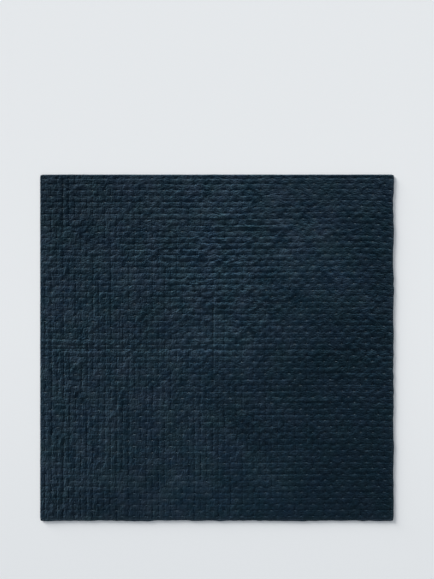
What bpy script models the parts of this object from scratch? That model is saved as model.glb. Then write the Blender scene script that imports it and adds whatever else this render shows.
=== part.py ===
"""A velvet quilt tacked in a chessboard lattice, spread out flat.

Face cloth, wadding and backing are held together by short tacks, so the quilt is one
filled solid: a dimple at each tack, a puff between each four of them, a soft roll along
the turned-in edge, drawn-in sides and a flat underside.

+X runs across the quilt, +Y towards its head end and +Z up. The origin is on the
surface that the quilt lies on, under its middle.
"""

import math
from collections import namedtuple

import bmesh
import bpy
from mathutils import Vector, noise

# Plan, in metres
WIDTH = 2.50
LENGTH = 2.45
COLUMNS = 59
ROWS = 58
COLUMN_PITCH = 0.0420
ROW_PITCH = 0.0417
LEFT_MARGIN = 0.037
HEAD_MARGIN = 0.032

# Loft, in metres above the surface that the quilt lies on
TACK_HEIGHT = 0.0060
PUFF_HEIGHT = 0.0145
PUFF_UNEVENNESS = 0.0018
UNEVENNESS_SPAN = 0.16

# The edge, from the crest of its roll down to the rim of the flat underside
Ring = namedtuple("Ring", "name inset height corner_pull")
EDGE_RINGS = (
    Ring("roll", 0.0140, 0.0120, 0.0010),
    Ring("shoulder", 0.0030, 0.0092, 0.0030),
    Ring("nose", 0.0000, 0.0050, 0.0040),
    Ring("rim", 0.0045, 0.0000, 0.0030),
)

# How far each side wavers in and out along its run
Waver = namedtuple("Waver", "side amplitude waves phase")
EDGE_WAVERS = (
    Waver("left", 0.0014, 5.0, 0.4),
    Waver("right", 0.0018, 6.5, 2.1),
    Waver("head", 0.0012, 7.0, 1.2),
    Waver("foot", 0.0016, 4.5, 3.0),
)

# How far the lattice drifts off its straight lines, from the middle of the quilt outwards
Drift = namedtuple("Drift", "along amplitude waves_x waves_y phase")
LATTICE_DRIFTS = (
    Drift("x", 0.0045, 0.55, 0.90, 0.6),
    Drift("x", 0.0025, 1.60, 1.10, 2.4),
    Drift("y", 0.0050, 0.60, 0.50, 1.1),
    Drift("y", 0.0025, 1.30, 1.70, 0.2),
)

# Folds pressed in while the quilt was put away, and creases left in the lie of the cloth
Crease = namedtuple("Crease", "name x0 y0 x1 y1 rise half_width")
CREASES = (
    Crease("middle_fold_lengthwise", -0.019, -1.20, -0.019, 1.20, 0.0022, 0.050),
    Crease("middle_fold_crosswise", -1.22, -0.008, 1.22, -0.008, 0.0018, 0.050),
    Crease("left_crosswise", -1.22, 0.035, -0.15, 0.010, 0.0020, 0.045),
    Crease("lower_left_lengthwise", -0.704, -0.780, -0.704, -0.520, 0.0026, 0.040),
    Crease("upper_left_lengthwise", -0.704, -0.020, -0.704, 0.165, 0.0022, 0.040),
    Crease("inner_left_lengthwise", -0.446, -0.400, -0.446, -0.140, 0.0024, 0.040),
    Crease("head_crosswise", -0.45, 0.930, 0.30, 0.905, 0.0020, 0.045),
    Crease("head_corner_slant", -1.16, 1.020, -0.95, 1.150, 0.0020, 0.045),
)

VELVET_COLOUR = (0.012, 0.026, 0.040, 1.0)
VELVET_ROUGHNESS = 0.85


def clear_scene():
    """Leave nothing in the scene but what this script makes."""
    for item in list(bpy.data.objects):
        bpy.data.objects.remove(item, do_unlink=True)


def velvet():
    """Dark navy cotton velvet."""
    material = bpy.data.materials.new("velvet")
    material.use_nodes = True
    shader = material.node_tree.nodes["Principled BSDF"]
    shader.inputs["Base Color"].default_value = VELVET_COLOUR
    shader.inputs["Roughness"].default_value = VELVET_ROUGHNESS
    shader.inputs["Metallic"].default_value = 0.0
    material.diffuse_color = VELVET_COLOUR
    return material


def is_tack(column, row):
    """Tacks sit on every second crossing of columns and rows; rows count from the head."""
    return (column + row) % 2 == 0


def drift(x, y):
    """How far the lattice has moved at a place, fading out towards the edge."""
    across, along = 2 * x / WIDTH, 2 * y / LENGTH
    fade = (1 - across**4) * (1 - along**4)
    moved = {"x": 0.0, "y": 0.0}
    for wave in LATTICE_DRIFTS:
        turn = wave.waves_x * across + wave.waves_y * along
        moved[wave.along] += wave.amplitude * math.sin(math.pi * turn + wave.phase)
    return moved["x"] * fade, moved["y"] * fade


def crease_rise(x, y):
    """How much the creases that pass a place lift its puffs."""
    total = 0.0
    place = Vector((x, y))
    for crease in CREASES:
        start = Vector((crease.x0, crease.y0))
        run = Vector((crease.x1, crease.y1)) - start
        share = min(max((place - start).dot(run) / run.length_squared, 0.0), 1.0)
        off = (place - start - share * run).length / crease.half_width
        total += crease.rise * math.exp(-off * off)
    return total


def lattice_point(column, row):
    """A crossing of the lattice: low on a tack, high on a puff."""
    x = -WIDTH / 2 + LEFT_MARGIN + column * COLUMN_PITCH
    y = LENGTH / 2 - HEAD_MARGIN - row * ROW_PITCH
    if is_tack(column, row):
        height = TACK_HEIGHT
    else:
        wobble = noise.noise(Vector((x, y, 0.0)) / UNEVENNESS_SPAN)
        height = PUFF_HEIGHT + PUFF_UNEVENNESS * wobble + crease_rise(x, y)
    dx, dy = drift(x, y)
    return Vector((x + dx, y + dy, height))


def side_waver(side, share):
    """How far a side stands in from its straight line, at a share of its run."""
    wave = next(w for w in EDGE_WAVERS if w.side == side)
    return wave.amplitude * (1 + math.sin(math.tau * wave.waves * share + wave.phase))


def edge_point(column, row, ring):
    """A point of one ring of the edge, in line with its column or row."""
    plain = lattice_point(min(max(column, 0), COLUMNS - 1), min(max(row, 0), ROWS - 1))
    at_left, at_right = column < 0, column >= COLUMNS
    at_head, at_foot = row < 0, row >= ROWS
    x, y = plain.x, plain.y
    along, across = y / LENGTH + 0.5, x / WIDTH + 0.5
    if at_left:
        x = -WIDTH / 2 + ring.inset + side_waver("left", along)
    if at_right:
        x = WIDTH / 2 - ring.inset - side_waver("right", along)
    if at_head:
        y = LENGTH / 2 - ring.inset - side_waver("head", across)
    if at_foot:
        y = -LENGTH / 2 + ring.inset + side_waver("foot", across)
    if (at_left or at_right) and (at_head or at_foot):
        x -= math.copysign(ring.corner_pull, x)
        y -= math.copysign(ring.corner_pull, y)
    return Vector((x, y, ring.height))


def face_grid():
    """The quilt's face: a vertex at each crossing, and one line round them for the edge's roll."""
    mesh = bmesh.new()
    bmesh.ops.create_grid(mesh, x_segments=COLUMNS + 1, y_segments=ROWS + 1, size=0.5)
    column_of = mesh.verts.layers.int.new("column")
    row_of = mesh.verts.layers.int.new("row")
    for vert in mesh.verts:
        column = round((vert.co.x + 0.5) * (COLUMNS + 1)) - 1
        row = round((0.5 - vert.co.y) * (ROWS + 1)) - 1
        vert[column_of], vert[row_of] = column, row
        if 0 <= column < COLUMNS and 0 <= row < ROWS:
            vert.co = lattice_point(column, row)
        else:
            vert.co = edge_point(column, row, EDGE_RINGS[0])
    return mesh, column_of, row_of


def fold_along_ridges(mesh, column_of, row_of):
    """Split each cell along the line between its puffs, so that each tack is a pit."""
    for cell in list(mesh.faces):
        puffs = [v for v in cell.verts if not is_tack(v[column_of], v[row_of])]
        bmesh.utils.face_split(cell, puffs[0], puffs[1])


def close_edge(mesh, column_of, row_of):
    """Carry the border down through the edge's rings and close the flat underside."""
    border = [edge for edge in mesh.edges if edge.is_boundary]
    for ring in EDGE_RINGS[1:]:
        extruded = bmesh.ops.extrude_edge_only(mesh, edges=border)["geom"]
        for vert in (item for item in extruded if isinstance(item, bmesh.types.BMVert)):
            vert.co = edge_point(vert[column_of], vert[row_of], ring)
        edges = (item for item in extruded if isinstance(item, bmesh.types.BMEdge))
        border = [edge for edge in edges if edge.is_boundary]
    bmesh.ops.edgeloop_fill(mesh, edges=border)
    bmesh.ops.recalc_face_normals(mesh, faces=mesh.faces)


def quilt(collection):
    """The whole quilt, one closed solid."""
    mesh, column_of, row_of = face_grid()
    fold_along_ridges(mesh, column_of, row_of)
    close_edge(mesh, column_of, row_of)
    data = bpy.data.meshes.new("quilt")
    mesh.to_mesh(data)
    mesh.free()
    data.materials.append(velvet())
    data.shade_smooth()
    made = bpy.data.objects.new("quilt", data)
    collection.objects.link(made)
    return made


def main():
    """Model the quilt in a collection of its own."""
    clear_scene()
    collection = bpy.data.collections.new("velvet_quilt")
    bpy.context.scene.collection.children.link(collection)
    quilt(collection)


main()
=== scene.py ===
"""Looks of the velvet quilt: its puffed and creased cloth, its tacks, and a plain studio round it."""

import logging
import math
from dataclasses import dataclass, field
from enum import Enum
from typing import Any, Sequence, Union

import bpy
import numpy as np
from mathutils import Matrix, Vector


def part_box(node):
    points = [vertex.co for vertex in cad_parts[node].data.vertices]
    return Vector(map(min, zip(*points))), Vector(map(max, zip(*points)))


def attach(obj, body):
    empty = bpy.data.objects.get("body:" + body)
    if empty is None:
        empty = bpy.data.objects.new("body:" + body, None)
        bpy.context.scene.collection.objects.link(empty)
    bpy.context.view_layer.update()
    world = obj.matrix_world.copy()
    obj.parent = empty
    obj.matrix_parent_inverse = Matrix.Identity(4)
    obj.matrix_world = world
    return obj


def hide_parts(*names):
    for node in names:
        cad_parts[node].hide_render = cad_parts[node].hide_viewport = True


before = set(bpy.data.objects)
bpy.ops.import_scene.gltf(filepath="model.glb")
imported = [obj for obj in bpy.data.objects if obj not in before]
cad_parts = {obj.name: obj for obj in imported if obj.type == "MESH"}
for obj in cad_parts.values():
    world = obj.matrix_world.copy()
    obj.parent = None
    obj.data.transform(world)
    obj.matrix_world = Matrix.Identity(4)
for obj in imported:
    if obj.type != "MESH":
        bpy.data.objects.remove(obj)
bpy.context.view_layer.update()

logging.basicConfig(level=logging.INFO, format="%(message)s")
LOG = logging.getLogger("quilt")

NODE = "quilt"
BODY = "root"
MILLIMETRES = 1000
TINY = 1e-9
NOISE_MARGIN = 4
NOISE_GAIN = 1.6

Colour = tuple[float, float, float, float]
Number = Union[int, float]


class Run(Enum):
    """The two ways that something can run on the quilt."""

    CROSSWISE = "crosswise"
    LENGTHWISE = "lengthwise"


# --------------------------------------------------------------------------- small tools


def deselect_all() -> None:
    """Leave nothing selected, in object mode."""
    if bpy.context.object is not None and bpy.context.object.mode != "OBJECT":
        bpy.ops.object.mode_set(mode="OBJECT")
    bpy.ops.object.select_all(action="DESELECT")


def activate(piece: bpy.types.Object) -> None:
    """Select one object and make it the active one.

    Args:
        piece: The object.
    """
    deselect_all()
    piece.select_set(True)
    bpy.context.view_layer.objects.active = piece


def read_points(piece: bpy.types.Object) -> np.ndarray:
    """Read a mesh's points.

    Args:
        piece: The mesh object.

    Returns:
        Rows of x, y, z.
    """
    flat = np.zeros(len(piece.data.vertices) * 3)
    piece.data.vertices.foreach_get("co", flat)
    return flat.reshape(-1, 3)


def write_points(piece: bpy.types.Object, points: np.ndarray) -> None:
    """Put rows of x, y, z back into a mesh."""
    piece.data.vertices.foreach_set("co", points.ravel())
    piece.data.update()


def select_border(piece: bpy.types.Object) -> None:
    """Go into edit mode with only the open edges of a mesh selected.

    Args:
        piece: The mesh object.
    """
    activate(piece)
    bpy.ops.object.mode_set(mode="EDIT")
    bpy.ops.mesh.select_mode(type="EDGE")
    bpy.ops.mesh.select_all(action="DESELECT")
    bpy.ops.mesh.select_non_manifold(extend=False, use_wire=False, use_boundary=True,
                                     use_multi_face=False, use_non_contiguous=False, use_verts=False)


def cubic_weight(distance: np.ndarray) -> np.ndarray:
    """The B-spline's weight of a grid height.

    Args:
        distance: How far off the height stands, in grid steps.

    Returns:
        Weights from 2/3 down to 0.
    """
    d = np.abs(distance)
    near = (4 - 6 * d**2 + 3 * d**3) / 6
    far = np.clip(2 - d, 0, None) ** 3 / 6
    return np.where(d < 1, near, far)


def soft_noise(x: np.ndarray, y: np.ndarray, span: float, seed: int) -> np.ndarray:
    """Smooth random hills between about -1 and 1.

    Args:
        x: Places across.
        y: Places along, in the same shape as x.
        span: Distance from one random height to the next.
        seed: Which set of random heights to use.

    Returns:
        A height for each place.
    """
    gx, gy = x / span, y / span
    low_x, low_y = math.floor(gx.min()) - NOISE_MARGIN, math.floor(gy.min()) - NOISE_MARGIN
    wide = math.ceil(gx.max()) - low_x + NOISE_MARGIN
    tall = math.ceil(gy.max()) - low_y + NOISE_MARGIN
    heights = np.random.default_rng(seed).uniform(-1.0, 1.0, (tall, wide))
    gx, gy = gx - low_x, gy - low_y
    i, j = np.floor(gx).astype(int), np.floor(gy).astype(int)
    s, t = gx - i, gy - j
    total = np.zeros_like(s)
    for dj in range(-1, 3):
        for di in range(-1, 3):
            weight = cubic_weight(s - di) * cubic_weight(t - dj)
            total += weight * heights[j + dj, i + di]
    return total * NOISE_GAIN


def oval(across: np.ndarray, along: np.ndarray, half_width: float, half_length: float) -> np.ndarray:
    """A soft oval spot.

    Args:
        across: Distance from its middle across.
        along: Distance from its middle along.
        half_width: Its reach across.
        half_length: Its reach along.

    Returns:
        1 in the middle, falling off smoothly to 0.
    """
    return np.exp(-((across / half_width) ** 2) - (along / half_length) ** 2)


@dataclass(frozen=True)
class Hills:
    """Smooth random hills: how high they are, how far apart, and their seed."""

    height: float
    span: float
    seed: int

    def at(self, x: np.ndarray, y: np.ndarray) -> np.ndarray:
        """Their height at each place."""
        return self.height * soft_noise(x, y, self.span, self.seed)


def add_up(layers: Sequence[Hills], x: np.ndarray, y: np.ndarray) -> np.ndarray:
    """Several layers of hills on top of each other."""
    return sum(hills.at(x, y) for hills in layers)


@dataclass(frozen=True)
class Trend:
    """A straight rule: where it starts, and its gain for each unit of what it follows."""

    start: float
    gain: float

    def at(self, followed: Any) -> Any:
        """The rule's value, for an array as for a shader's wire."""
        return self.start + self.gain * followed


# --------------------------------------------------------------------------- the lattice


@dataclass(frozen=True)
class Drift:
    """One slow wave by which the lattice wanders off its straight lines."""

    moves: Run
    amplitude: float
    waves_x: float
    waves_y: float
    phase: float


@dataclass(frozen=True)
class Lattice:
    """The chessboard of tacks, with its columns, its rows and its drift.

    A place on it is u, counted in columns from the left, and v, in rows from the head.
    """

    width: float
    length: float
    columns: int = 59
    rows: int = 58
    column_pitch: float = 0.0420
    row_pitch: float = 0.0417
    left_margin: float = 0.037
    head_margin: float = 0.032
    drifts: tuple[Drift, ...] = (
        Drift(Run.CROSSWISE, 0.0052, 0.4, -0.4, 2.22),
        Drift(Run.CROSSWISE, 0.0041, 0.8, -1.2, 3.60),
        Drift(Run.CROSSWISE, 0.0034, 1.6, -0.4, 0.93),
        Drift(Run.CROSSWISE, 0.0024, 0.0, 1.2, 3.78),
        Drift(Run.LENGTHWISE, 0.0097, 0.4, 0.4, 5.59),
        Drift(Run.LENGTHWISE, 0.0074, 0.0, 0.0, 1.57),
        Drift(Run.LENGTHWISE, 0.0015, 1.2, -1.6, 2.97),
        Drift(Run.LENGTHWISE, 0.0028, 1.2, 0.8, 1.65),
        Drift(Run.LENGTHWISE, 0.0024, 0.8, 0.0, 5.41),
    )
    fade_power: int = 12

    def plan(self, u: np.ndarray, v: np.ndarray) -> tuple[np.ndarray, np.ndarray]:
        """Lay lattice places out on the floor.

        Args:
            u: Lattice places across.
            v: Lattice places along.

        Returns:
            Their x and y, in metres.
        """
        x = -self.width / 2 + self.left_margin + u * self.column_pitch
        y = self.length / 2 - self.head_margin - v * self.row_pitch
        across, along = 2 * x / self.width, 2 * y / self.length
        fade = (1 - across**self.fade_power) * (1 - along**self.fade_power)
        dx, dy = np.zeros_like(x), np.zeros_like(y)
        for wave in self.drifts:
            turn = wave.waves_x * across + wave.waves_y * along
            moved = wave.amplitude * np.sin(math.pi * turn + wave.phase) * fade
            if wave.moves is Run.CROSSWISE:
                dx = dx + moved
            else:
                dy = dy + moved
        return x + dx, y + dy

    def sewn(self, u: np.ndarray, v: np.ndarray) -> tuple[np.ndarray, np.ndarray]:
        """How far u, v lie from the nearest tack, in pitches across and along."""
        slant, counter = np.rint((u + v) / 2), np.rint((u - v) / 2)
        return u - (slant + counter), v - (slant - counter)


@dataclass(frozen=True)
class Waver:
    """How one side of the quilt stands in from its straight line, by a slow wave and small scallops."""

    amplitude: float
    waves: float
    phase: float
    scallop: float
    seed: int
    scallop_span: float = 0.011

    def offset(self, share: np.ndarray) -> np.ndarray:
        """The distance inwards.

        Args:
            share: Shares of the side's run, from 0 to 1.

        Returns:
            Metres, never under 0.
        """
        wave = self.amplitude * (1 + np.sin(math.tau * self.waves * share + self.phase))
        scallops = soft_noise(share, np.zeros_like(share), self.scallop_span, self.seed)
        return wave + self.scallop * np.clip(1 + scallops, 0, 2)


@dataclass(frozen=True)
class Outline:
    """The quilt's outline, nearly square, with slightly uneven sides."""

    width: float
    length: float
    reach: float = 0.080
    left: Waver = Waver(0.0002, 5.0, 0.4, 0.0004, 81)
    right: Waver = Waver(0.0020, 6.5, 2.1, 0.0027, 82)
    head: Waver = Waver(0.0002, 7.0, 1.2, 0.0004, 83)
    foot: Waver = Waver(0.0024, 4.5, 3.0, 0.0032, 84)

    def draw_in(self, x: np.ndarray, y: np.ndarray) -> tuple[np.ndarray, np.ndarray]:
        """Move places near a side by that side's waver, less the further in they lie.

        Args:
            x: Places across.
            y: Places along.

        Returns:
            The moved x and y.
        """
        across, along = x / self.width + 0.5, y / self.length + 0.5
        moved_x = x + self.left.offset(along) * self.nearness(x + self.width / 2)
        moved_x = moved_x - self.right.offset(along) * self.nearness(self.width / 2 - x)
        moved_y = y - self.head.offset(across) * self.nearness(self.length / 2 - y)
        moved_y = moved_y + self.foot.offset(across) * self.nearness(y + self.length / 2)
        return moved_x, moved_y

    def nearness(self, inset: np.ndarray) -> np.ndarray:
        """From 1 at a side to 0 where its waver no longer reaches."""
        return np.clip(1 - inset / self.reach, 0, 1) ** 2

    def inside(self, x: np.ndarray, y: np.ndarray) -> np.ndarray:
        """From 0 at the outline to 1 well inside it."""
        from_sides = 1 - self.nearness(self.width / 2 - np.abs(x))
        return from_sides * (1 - self.nearness(self.length / 2 - np.abs(y)))


@dataclass(frozen=True)
class Fold:
    """A fold or crease left in the lie of the whole quilt, as a low rounded ridge or a furrow."""

    x0: float
    y0: float
    x1: float
    y1: float
    rise: float
    half_width: float

    def lift(self, x: np.ndarray, y: np.ndarray) -> np.ndarray:
        """How far it lifts the cloth.

        Args:
            x: Places across.
            y: Places along.

        Returns:
            Metres, under 0 for a furrow.
        """
        run_x, run_y = self.x1 - self.x0, self.y1 - self.y0
        share = ((x - self.x0) * run_x + (y - self.y0) * run_y) / (run_x**2 + run_y**2)
        share = np.clip(share, 0, 1)
        off_x, off_y = x - self.x0 - share * run_x, y - self.y0 - share * run_y
        return self.rise * np.exp(-(off_x**2 + off_y**2) / self.half_width**2)


@dataclass(frozen=True)
class Patch:
    """A soft-edged oval area of the quilt, in metres, and how much something changes there."""

    x: float
    y: float
    reach_x: float
    reach_y: float
    amount: float

    def share(self, x: np.ndarray, y: np.ndarray) -> np.ndarray:
        """The change at each place."""
        return self.amount * oval(x - self.x, y - self.y, self.reach_x, self.reach_y)


@dataclass(frozen=True)
class Lean:
    """How far creases favour running crosswise, about 0 to 1, by a slope over the quilt."""

    start: float = 0.50
    to_right: float = 0.28
    to_head: float = 0.17

    def at(self, x: Any, y: Any) -> Any:
        """The lean at a place, for arrays as for a shader's wires."""
        return self.start + self.to_right * x + self.to_head * y


# Where the creases run long and wavy, where they lie slack, and how lively the relief is from area to area.
MIDDLE = Patch(0.02, 0.70, 0.46, 0.42, 1.0)
LOOSE = Patch(0.60, 0.42, 0.40, 0.50, -0.60)
LIVELY: tuple[Patch, ...] = (
    Patch(0.00, 0.58, 0.34, 0.34, 0.25),
    Patch(0.75, 0.95, 0.70, 0.50, -0.34),
    Patch(-0.70, 1.12, 0.50, 0.30, -0.18),
    Patch(-0.45, -1.12, 0.45, 0.35, -0.42),
    Patch(0.70, -1.15, 0.60, 0.35, -0.38),
    Patch(1.12, 0.00, 0.30, 0.30, 0.26),
    Patch(-1.10, 0.00, 0.35, 0.30, 0.08),
    Patch(-0.70, 0.00, 0.55, 0.09, 0.32),
    Patch(0.00, 0.05, 0.30, 0.25, 0.12),
    Patch(0.30, -0.60, 0.50, 0.30, 0.34),
    Patch(0.05, 1.10, 0.30, 0.14, 0.14),
    Patch(-1.12, -0.95, 0.28, 0.35, 0.10),
)
LEAN = Lean()


# --------------------------------------------------------------------------- the cloth


@dataclass(frozen=True)
class EdgeRing:
    """One line round the quilt's edge: how far in from the outline it lies, and how high."""

    inset: float
    height: float
    corner_pull: float


@dataclass(frozen=True)
class Ridges:
    """Pinched little ridges that wander and break off: their spacings and their seed."""

    across: float
    along: float
    lean: Trend
    seed: int
    sharpness: float = 2.2
    break_span: float = 2.3

    def at(self, x: np.ndarray, y: np.ndarray) -> np.ndarray:
        """How much of a ridge there is.

        Args:
            x: Places across.
            y: Places along.

        Returns:
            From 0 to 1, on top of a ridge.
        """
        across, along = x / self.across, y / self.along
        ridge = np.clip(1 - np.abs(soft_noise(across, along, 1.0, self.seed)) * self.sharpness, 0, 1)
        return ridge * np.clip(0.5 + soft_noise(across, along, self.break_span, self.seed + 1), 0, 1)


@dataclass(frozen=True)
class CreaseSwing:
    """How the creases of one direction come and go along their lines."""

    strength: Hills
    spread: Hills
    even_strength: float = 0.5
    most_strength: float = 1.4
    even_spread: float = 0.6
    least_spread: float = 0.3
    line_step: float = 5.0
    joined: float = 0.25

    def arm(self, along: np.ndarray, line: np.ndarray, reach: np.ndarray,
            extra: Any) -> tuple[np.ndarray, np.ndarray]:
        """The creases' strength, and how far they hold out from their tacks.

        Args:
            along: Lattice places along the creases.
            line: The lattice line that each place is nearest to.
            reach: Distance along the crease from the nearest tack, in pitches.
            extra: What to add to the strength.

        Returns:
            The strength, and the share of it that is left at each place.
        """
        place = line * self.line_step
        strength = self.even_strength + self.strength.at(along, place) + extra
        strength = np.clip(strength, 0.0, self.most_strength)
        spread = np.clip(self.even_spread + self.spread.at(along, place), self.least_spread, 1.0)
        return strength, self.joined * strength + np.exp(-((reach / spread) ** 2))


@dataclass(frozen=True)
class Settling:
    """How Blender's Cloth lets the velvet find its own folds between the tacks."""

    frames: int = 8
    quality: int = 5
    mass: float = 0.001
    air_damping: float = 2.0
    stretch_stiffness: float = 12.0
    shear_stiffness: float = 4.0
    bending_stiffness: float = 0.02
    pin_stiffness: float = 2.0
    ease: float = 0.04
    pressure: float = 3.0
    cap: float = 0.010
    share: float = 0.6

    def run(self, piece: bpy.types.Object, group: str) -> None:
        """Simulate the cloth, apply the result, and keep a capped share of it.

        Args:
            piece: The cloth.
            group: The vertex group that is held.
        """
        start = read_points(piece)
        activate(piece)
        cloth = piece.modifiers.new("settle", "CLOTH")
        settings = cloth.settings
        settings.quality = self.quality
        settings.mass = self.mass
        settings.air_damping = self.air_damping
        settings.tension_stiffness = settings.compression_stiffness = self.stretch_stiffness
        settings.shear_stiffness = self.shear_stiffness
        settings.bending_stiffness = self.bending_stiffness
        settings.vertex_group_mass = group
        settings.pin_stiffness = self.pin_stiffness
        settings.shrink_min = -self.ease
        settings.use_pressure = True
        settings.uniform_pressure_force = self.pressure
        settings.effector_weights.gravity = 0.0
        cloth.collision_settings.use_collision = False
        cloth.collision_settings.use_self_collision = False
        cloth.point_cache.frame_start = 1
        cloth.point_cache.frame_end = self.frames
        scene = bpy.context.scene
        for step in range(1, self.frames + 1):
            scene.frame_set(step)
        bpy.ops.object.modifier_apply(modifier=cloth.name)
        scene.frame_set(1)
        moved = read_points(piece) - start
        length = np.linalg.norm(moved, axis=1, keepdims=True)
        cap = np.minimum(1.0, self.cap / np.maximum(length, TINY))
        mean, most = MILLIMETRES * length.mean(), MILLIMETRES * length.max()
        LOG.info("settled: moved %.1f mm on average, %.1f mm at most", mean, most)
        write_points(piece, start + moved * cap * self.share)


@dataclass(frozen=True)
class ClothPlaces:
    """Points of the cloth: their lattice and floor places, and how the cloth is there, as arrays."""

    u: np.ndarray
    v: np.ndarray
    du: np.ndarray
    dv: np.ndarray
    x: np.ndarray
    y: np.ndarray
    lean: np.ndarray
    middle: np.ndarray
    lively: np.ndarray


@dataclass
class QuiltCloth:
    """The quilt itself: velvet, wadding and backing as one closed, padded skin."""

    lattice: Lattice
    outline: Outline
    # The grid's lines between two tack lines, and in the border, as shares of the distance.
    cell_stops: tuple[float, ...] = (0.0, 0.13, 0.36, 0.64, 0.87)
    border_stops: tuple[float, ...] = (0.25, 0.60, 1.0)
    border_share: float = 0.15
    tack_height: float = 0.0088
    back_height: float = 0.0005
    back_dimple: float = 0.0030
    puff_height: float = 0.0130
    lowest: float = 0.0015
    level: float = 0.0190
    highest: float = 0.0270
    swells: tuple[Hills, ...] = (Hills(0.0018, 0.30, 20), Hills(0.0012, 0.13, 21))
    wander_x: tuple[Hills, ...] = (Hills(0.0022, 0.055, 11), Hills(0.0012, 0.024, 12))
    wander_y: tuple[Hills, ...] = (Hills(0.0022, 0.055, 13), Hills(0.0012, 0.024, 14))
    lean_swing: Hills = Hills(0.35, 0.28, 50)
    lean_middle: float = 0.5
    lean_least: float = 0.1
    lean_most: float = 1.2
    # The dimples at the tacks.
    pit_half_width: float = 0.32
    pit_half_length: float = 0.22
    pit_swing: Hills = Hills(0.35, 0.035, 56)
    pit_least: float = 0.3
    pit_most: float = 1.25
    pit_lean: Trend = Trend(0.28, 0.58)
    # The creases from tack to tack.
    crease_depth: float = 0.0034
    crease_width: float = 0.15
    crosswise: CreaseSwing = CreaseSwing(Hills(0.8, 2.2, 31), Hills(0.35, 1.3, 35))
    crosswise_lean: Trend = Trend(0.34, 0.42)
    crosswise_middle: float = 0.45
    lengthwise: CreaseSwing = CreaseSwing(Hills(0.8, 2.2, 32), Hills(0.35, 1.3, 36))
    lengthwise_lean: Trend = Trend(1.8, -1.25)
    sways: tuple[Hills, ...] = (Hills(0.26, 0.09, 33), Hills(0.14, 0.03, 34))
    sway_middle: Trend = Trend(1.0, 0.7)
    sway_lean: Trend = Trend(0.65, 0.35)
    # The pinched ridges all over, partly made before the cloth settles and partly after.
    ridge_height: float = 0.0036
    ridge_sink: float = 0.0012
    ridge_before: float = 0.5
    ridge_after: float = 0.7
    broad: Ridges = Ridges(0.046, 0.0175, Trend(0.3, 1.0), 51)
    rolling: Ridges = Ridges(0.050, 0.026, Trend(0.3, 1.0), 61)
    rolling_share: float = 0.7
    broad_middle: Trend = Trend(1.0, 0.6)
    tall: Ridges = Ridges(0.0175, 0.060, Trend(1.3, -1.0), 53)
    tall_flank: Trend = Trend(1.0, 1.1)
    flank_start: float = -0.35
    flank_reach: float = 0.6
    ripples: tuple[Hills, ...] = (Hills(0.008, 0.15, 57), Hills(0.007, 0.06, 58))
    held_share: float = 0.7
    held_half_width: float = 0.42
    held_half_length: float = 0.34
    rings: tuple[EdgeRing, ...] = (
        EdgeRing(0.0140, 0.0122, 0.0010),
        EdgeRing(0.0060, 0.0110, 0.0022),
        EdgeRing(0.0012, 0.0082, 0.0034),
        EdgeRing(0.0000, 0.0046, 0.0040),
        EdgeRing(0.0040, 0.0004, 0.0030),
    )
    ring_uneven: Hills = Hills(0.0006, 0.05, 41)
    folds: tuple[Fold, ...] = (
        Fold(-0.019, -1.20, -0.019, 1.20, 0.0020, 0.030),
        Fold(-1.22, -0.006, 0.00, -0.004, -0.0046, 0.011),
        Fold(0.00, -0.004, 1.22, -0.016, -0.0016, 0.014),
        Fold(-1.22, 0.048, -0.90, 0.030, 0.0040, 0.010),
        Fold(-0.025, -0.290, -0.025, 0.390, -0.0042, 0.010),
        Fold(-0.683, -0.150, -0.679, 0.365, -0.0030, 0.011),
        Fold(-0.707, -0.820, -0.703, -0.330, -0.0030, 0.011),
        Fold(-1.087, 0.850, -1.085, 1.180, -0.0034, 0.010),
        Fold(-0.030, 0.858, 0.470, 0.850, 0.0040, 0.010),
        Fold(-0.45, 0.930, 0.30, 0.905, 0.0036, 0.011),
        Fold(-0.66, -0.735, -0.03, -0.742, 0.0036, 0.010),
        Fold(-0.74, -0.822, -0.03, -0.815, 0.0034, 0.010),
        Fold(0.500, -0.370, 0.840, -0.372, 0.0040, 0.010),
        Fold(0.830, -0.020, 1.22, -0.030, -0.0040, 0.011),
        Fold(-1.16, 1.020, -0.95, 1.150, 0.0030, 0.014),
    )
    settling: Settling = Settling()
    # What the simulation holds: how near a tack, a crease line or the border, and how firmly a crease line.
    hold_tack: float = 0.2
    hold_line: float = 0.05
    hold_border: float = 0.3
    line_weight: float = 0.25
    held_group: str = "pinned"
    crossing_gap: float = 1e-3
    piece: bpy.types.Object = field(init=False)
    tack_points: np.ndarray = field(init=False)
    face_points: int = field(init=False)
    face_polygons: int = field(init=False)

    def build(self) -> bpy.types.Object:
        """Make the whole skin.

        Returns:
            The closed mesh, with its lattice places as a UV map.
        """
        lattice = self.lattice
        last_x = self.outline.width - lattice.left_margin
        last_x -= (lattice.columns - 1) * lattice.column_pitch
        last_y = self.outline.length - lattice.head_margin
        last_y -= (lattice.rows - 1) * lattice.row_pitch
        across = self.line_places(lattice.columns, lattice.column_pitch, lattice.left_margin, last_x)
        along = self.line_places(lattice.rows, lattice.row_pitch, lattice.head_margin, last_y)
        self.add_face(across, along)
        self.settle()
        self.sharpen()
        self.add_edge()
        self.add_back()
        self.finish_mesh()
        return self.piece

    def dress(self) -> None:
        """Give the face its velvet and the underside its backing."""
        for finish in (Velvet(), Backing()):
            self.piece.data.materials.append(finish.material())

    def line_places(self, count: int, pitch: float, first: float, last: float) -> np.ndarray:
        """The grid's lines in one direction, from the roll of one side to that of the other.

        Args:
            count: How many lines of tacks there are.
            pitch: The distance between two of them.
            first: Margin before the first line of tacks.
            last: Margin after the last one.

        Returns:
            Places in pitches from the first line of tacks; border places are under 0 or past it.
        """
        cells = np.arange(count - 1)[:, None] + np.array(self.cell_stops)[None, :]
        stops = np.array(self.border_stops)
        before = -(first - self.rings[0].inset) / pitch * stops[::-1]
        after = count - 1 + (last - self.rings[0].inset) / pitch * stops
        return np.concatenate([before, cells.ravel(), [count - 1.0], after])

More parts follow.
